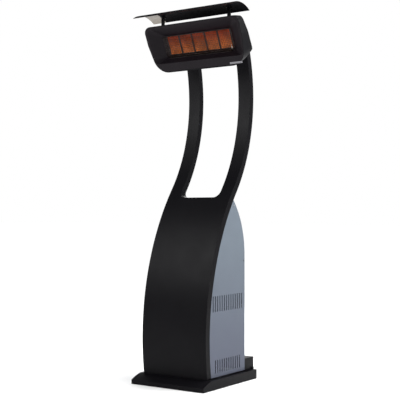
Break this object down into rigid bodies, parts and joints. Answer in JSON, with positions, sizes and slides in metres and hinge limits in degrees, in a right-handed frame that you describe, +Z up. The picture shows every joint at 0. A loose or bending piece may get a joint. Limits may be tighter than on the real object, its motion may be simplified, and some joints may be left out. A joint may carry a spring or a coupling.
{
  "type": "outdoor gas heater",
  "caption": "Free-standing radiant gas heater: tilting tiled burner head under an arched rain visor, on a bow-shaped post frame, a vented bottle cabinet and a wheeled base.",
  "frame": {"origin": "centre of the base's footprint, on the floor", "axes": "+X to the right of someone facing the burner, -Y towards the people it warms, +Z up"},
  "size_m": [0.728, 0.648, 2.2959],
  "materials": {
    "black_coat": "satin powder coat",
    "grey_coat": "satin powder coat",
    "bezel_coat": "satin heat-resistant coat",
    "visor_coat": "satin powder coat",
    "panel_coat": "fine-textured coat",
    "ballast": "plain",
    "dark_screw": "blackened",
    "bright_steel": "zinc plated",
    "satin_steel": "satin",
    "sheet_steel": "heat-stained",
    "dark_steel": "heat-darkened",
    "screen_wire": "heat-stained",
    "badge_metal": "satin",
    "cast_zinc": "as cast",
    "brass": "machined",
    "pipe_steel": "plain",
    "hose_rubber": "matt",
    "tyre_rubber": "matt",
    "hub_plastic": "moulded",
    "black_plastic": "moulded",
    "dark_plastic": "moulded",
    "pale_plastic": "moulded",
    "red_plastic": "moulded",
    "glowing_ceramic": "bare ceramic",
    "white_ceramic": "glazed ceramic"
  },
  "bodies": {
    "stand": {"base_plate": "ballast", "base_cover": "black_coat", "base_screws": "dark_screw", "front_panel": "black_coat", "left_post": "black_coat", "right_post": "black_coat", "post_caps": "black_plastic", "post_crossbar": "black_coat", "left_side_panel": "grey_coat", "right_side_panel": "grey_coat", "side_panel_screws": "bright_steel", "rear_cover": "black_coat", "rear_sill": "black_coat", "door_hinges": "black_coat", "door_hinge_pins": "bright_steel", "door_catch": "pale_plastic", "bottle_ring": "black_coat", "gas_regulator": "cast_zinc", "regulator_clip": "bright_steel", "gas_hose": "hose_rubber", "gas_valve": "brass", "riser_pipe": "pipe_steel", "control_panel": "panel_coat", "igniter_bezel": "dark_plastic", "spark_generator": "dark_plastic", "tilt_switch": "dark_plastic", "left_wheel_bracket": "black_coat", "right_wheel_bracket": "black_coat", "wheel_axle": "bright_steel", "axle_caps": "black_plastic", "pivot_bracket": "black_coat", "pivot_bolts": "bright_steel", "supply_elbow": "brass"},
    "door": {"rear_door": "black_coat", "door_handle": "satin_steel"},
    "knob": {"control_knob": "black_plastic", "valve_stem": "bright_steel"},
    "button": {"igniter_button": "red_plastic"},
    "wheel_left": {"left_tyre": "tyre_rubber", "left_wheel_hub": "hub_plastic"},
    "wheel_right": {"right_tyre": "tyre_rubber", "right_wheel_hub": "hub_plastic"},
    "head": {"head_yoke": "black_coat", "head_casing": "black_coat", "head_bezel": "bezel_coat", "burner_housing": "black_coat", "burner_frame": "dark_steel", "plenum_box": "sheet_steel", "tile_1": "glowing_ceramic", "tile_2": "glowing_ceramic", "tile_3": "glowing_ceramic", "tile_4": "glowing_ceramic", "tile_5": "glowing_ceramic", "mesh_screen": "screen_wire", "igniter_electrode": "white_ceramic", "gas_injector": "brass", "head_badge": "badge_metal", "visor": "visor_coat", "visor_brackets": "black_coat", "visor_screws": "dark_screw"}
  },
  "joints": [
    {"name": "door_hinge", "type": "hinge", "parent": "stand", "child": "door", "pos_m": [-0.227, 0.2075, 0.44], "axis": [0, 0, 1], "range_deg": [0, 110]},
    {"name": "knob_turn", "type": "hinge", "parent": "stand", "child": "knob", "pos_m": [-0.035, 0.17753, 0.93951], "axis": [0, 0.9511, 0.309], "range_deg": [0, 210]},
    {"name": "button_press", "type": "slide", "parent": "stand", "child": "button", "axis": [0, 0.9511, 0.309], "range_m": [-0.005, 0], "stiffness_N_per_m": 400},
    {"name": "wheel_left_spin", "type": "hinge", "parent": "stand", "child": "wheel_left", "pos_m": [-0.19, 0.292, 0.065], "axis": [1, 0, 0], "continuous": true},
    {"name": "wheel_right_spin", "type": "hinge", "parent": "stand", "child": "wheel_right", "pos_m": [0.19, 0.292, 0.065], "axis": [1, 0, 0], "continuous": true},
    {"name": "head_tilt", "type": "hinge", "parent": "stand", "child": "head", "pos_m": [0, 0.14523, 2.11215], "axis": [1, 0, 0], "range_deg": [-15, 20]}
  ]
}
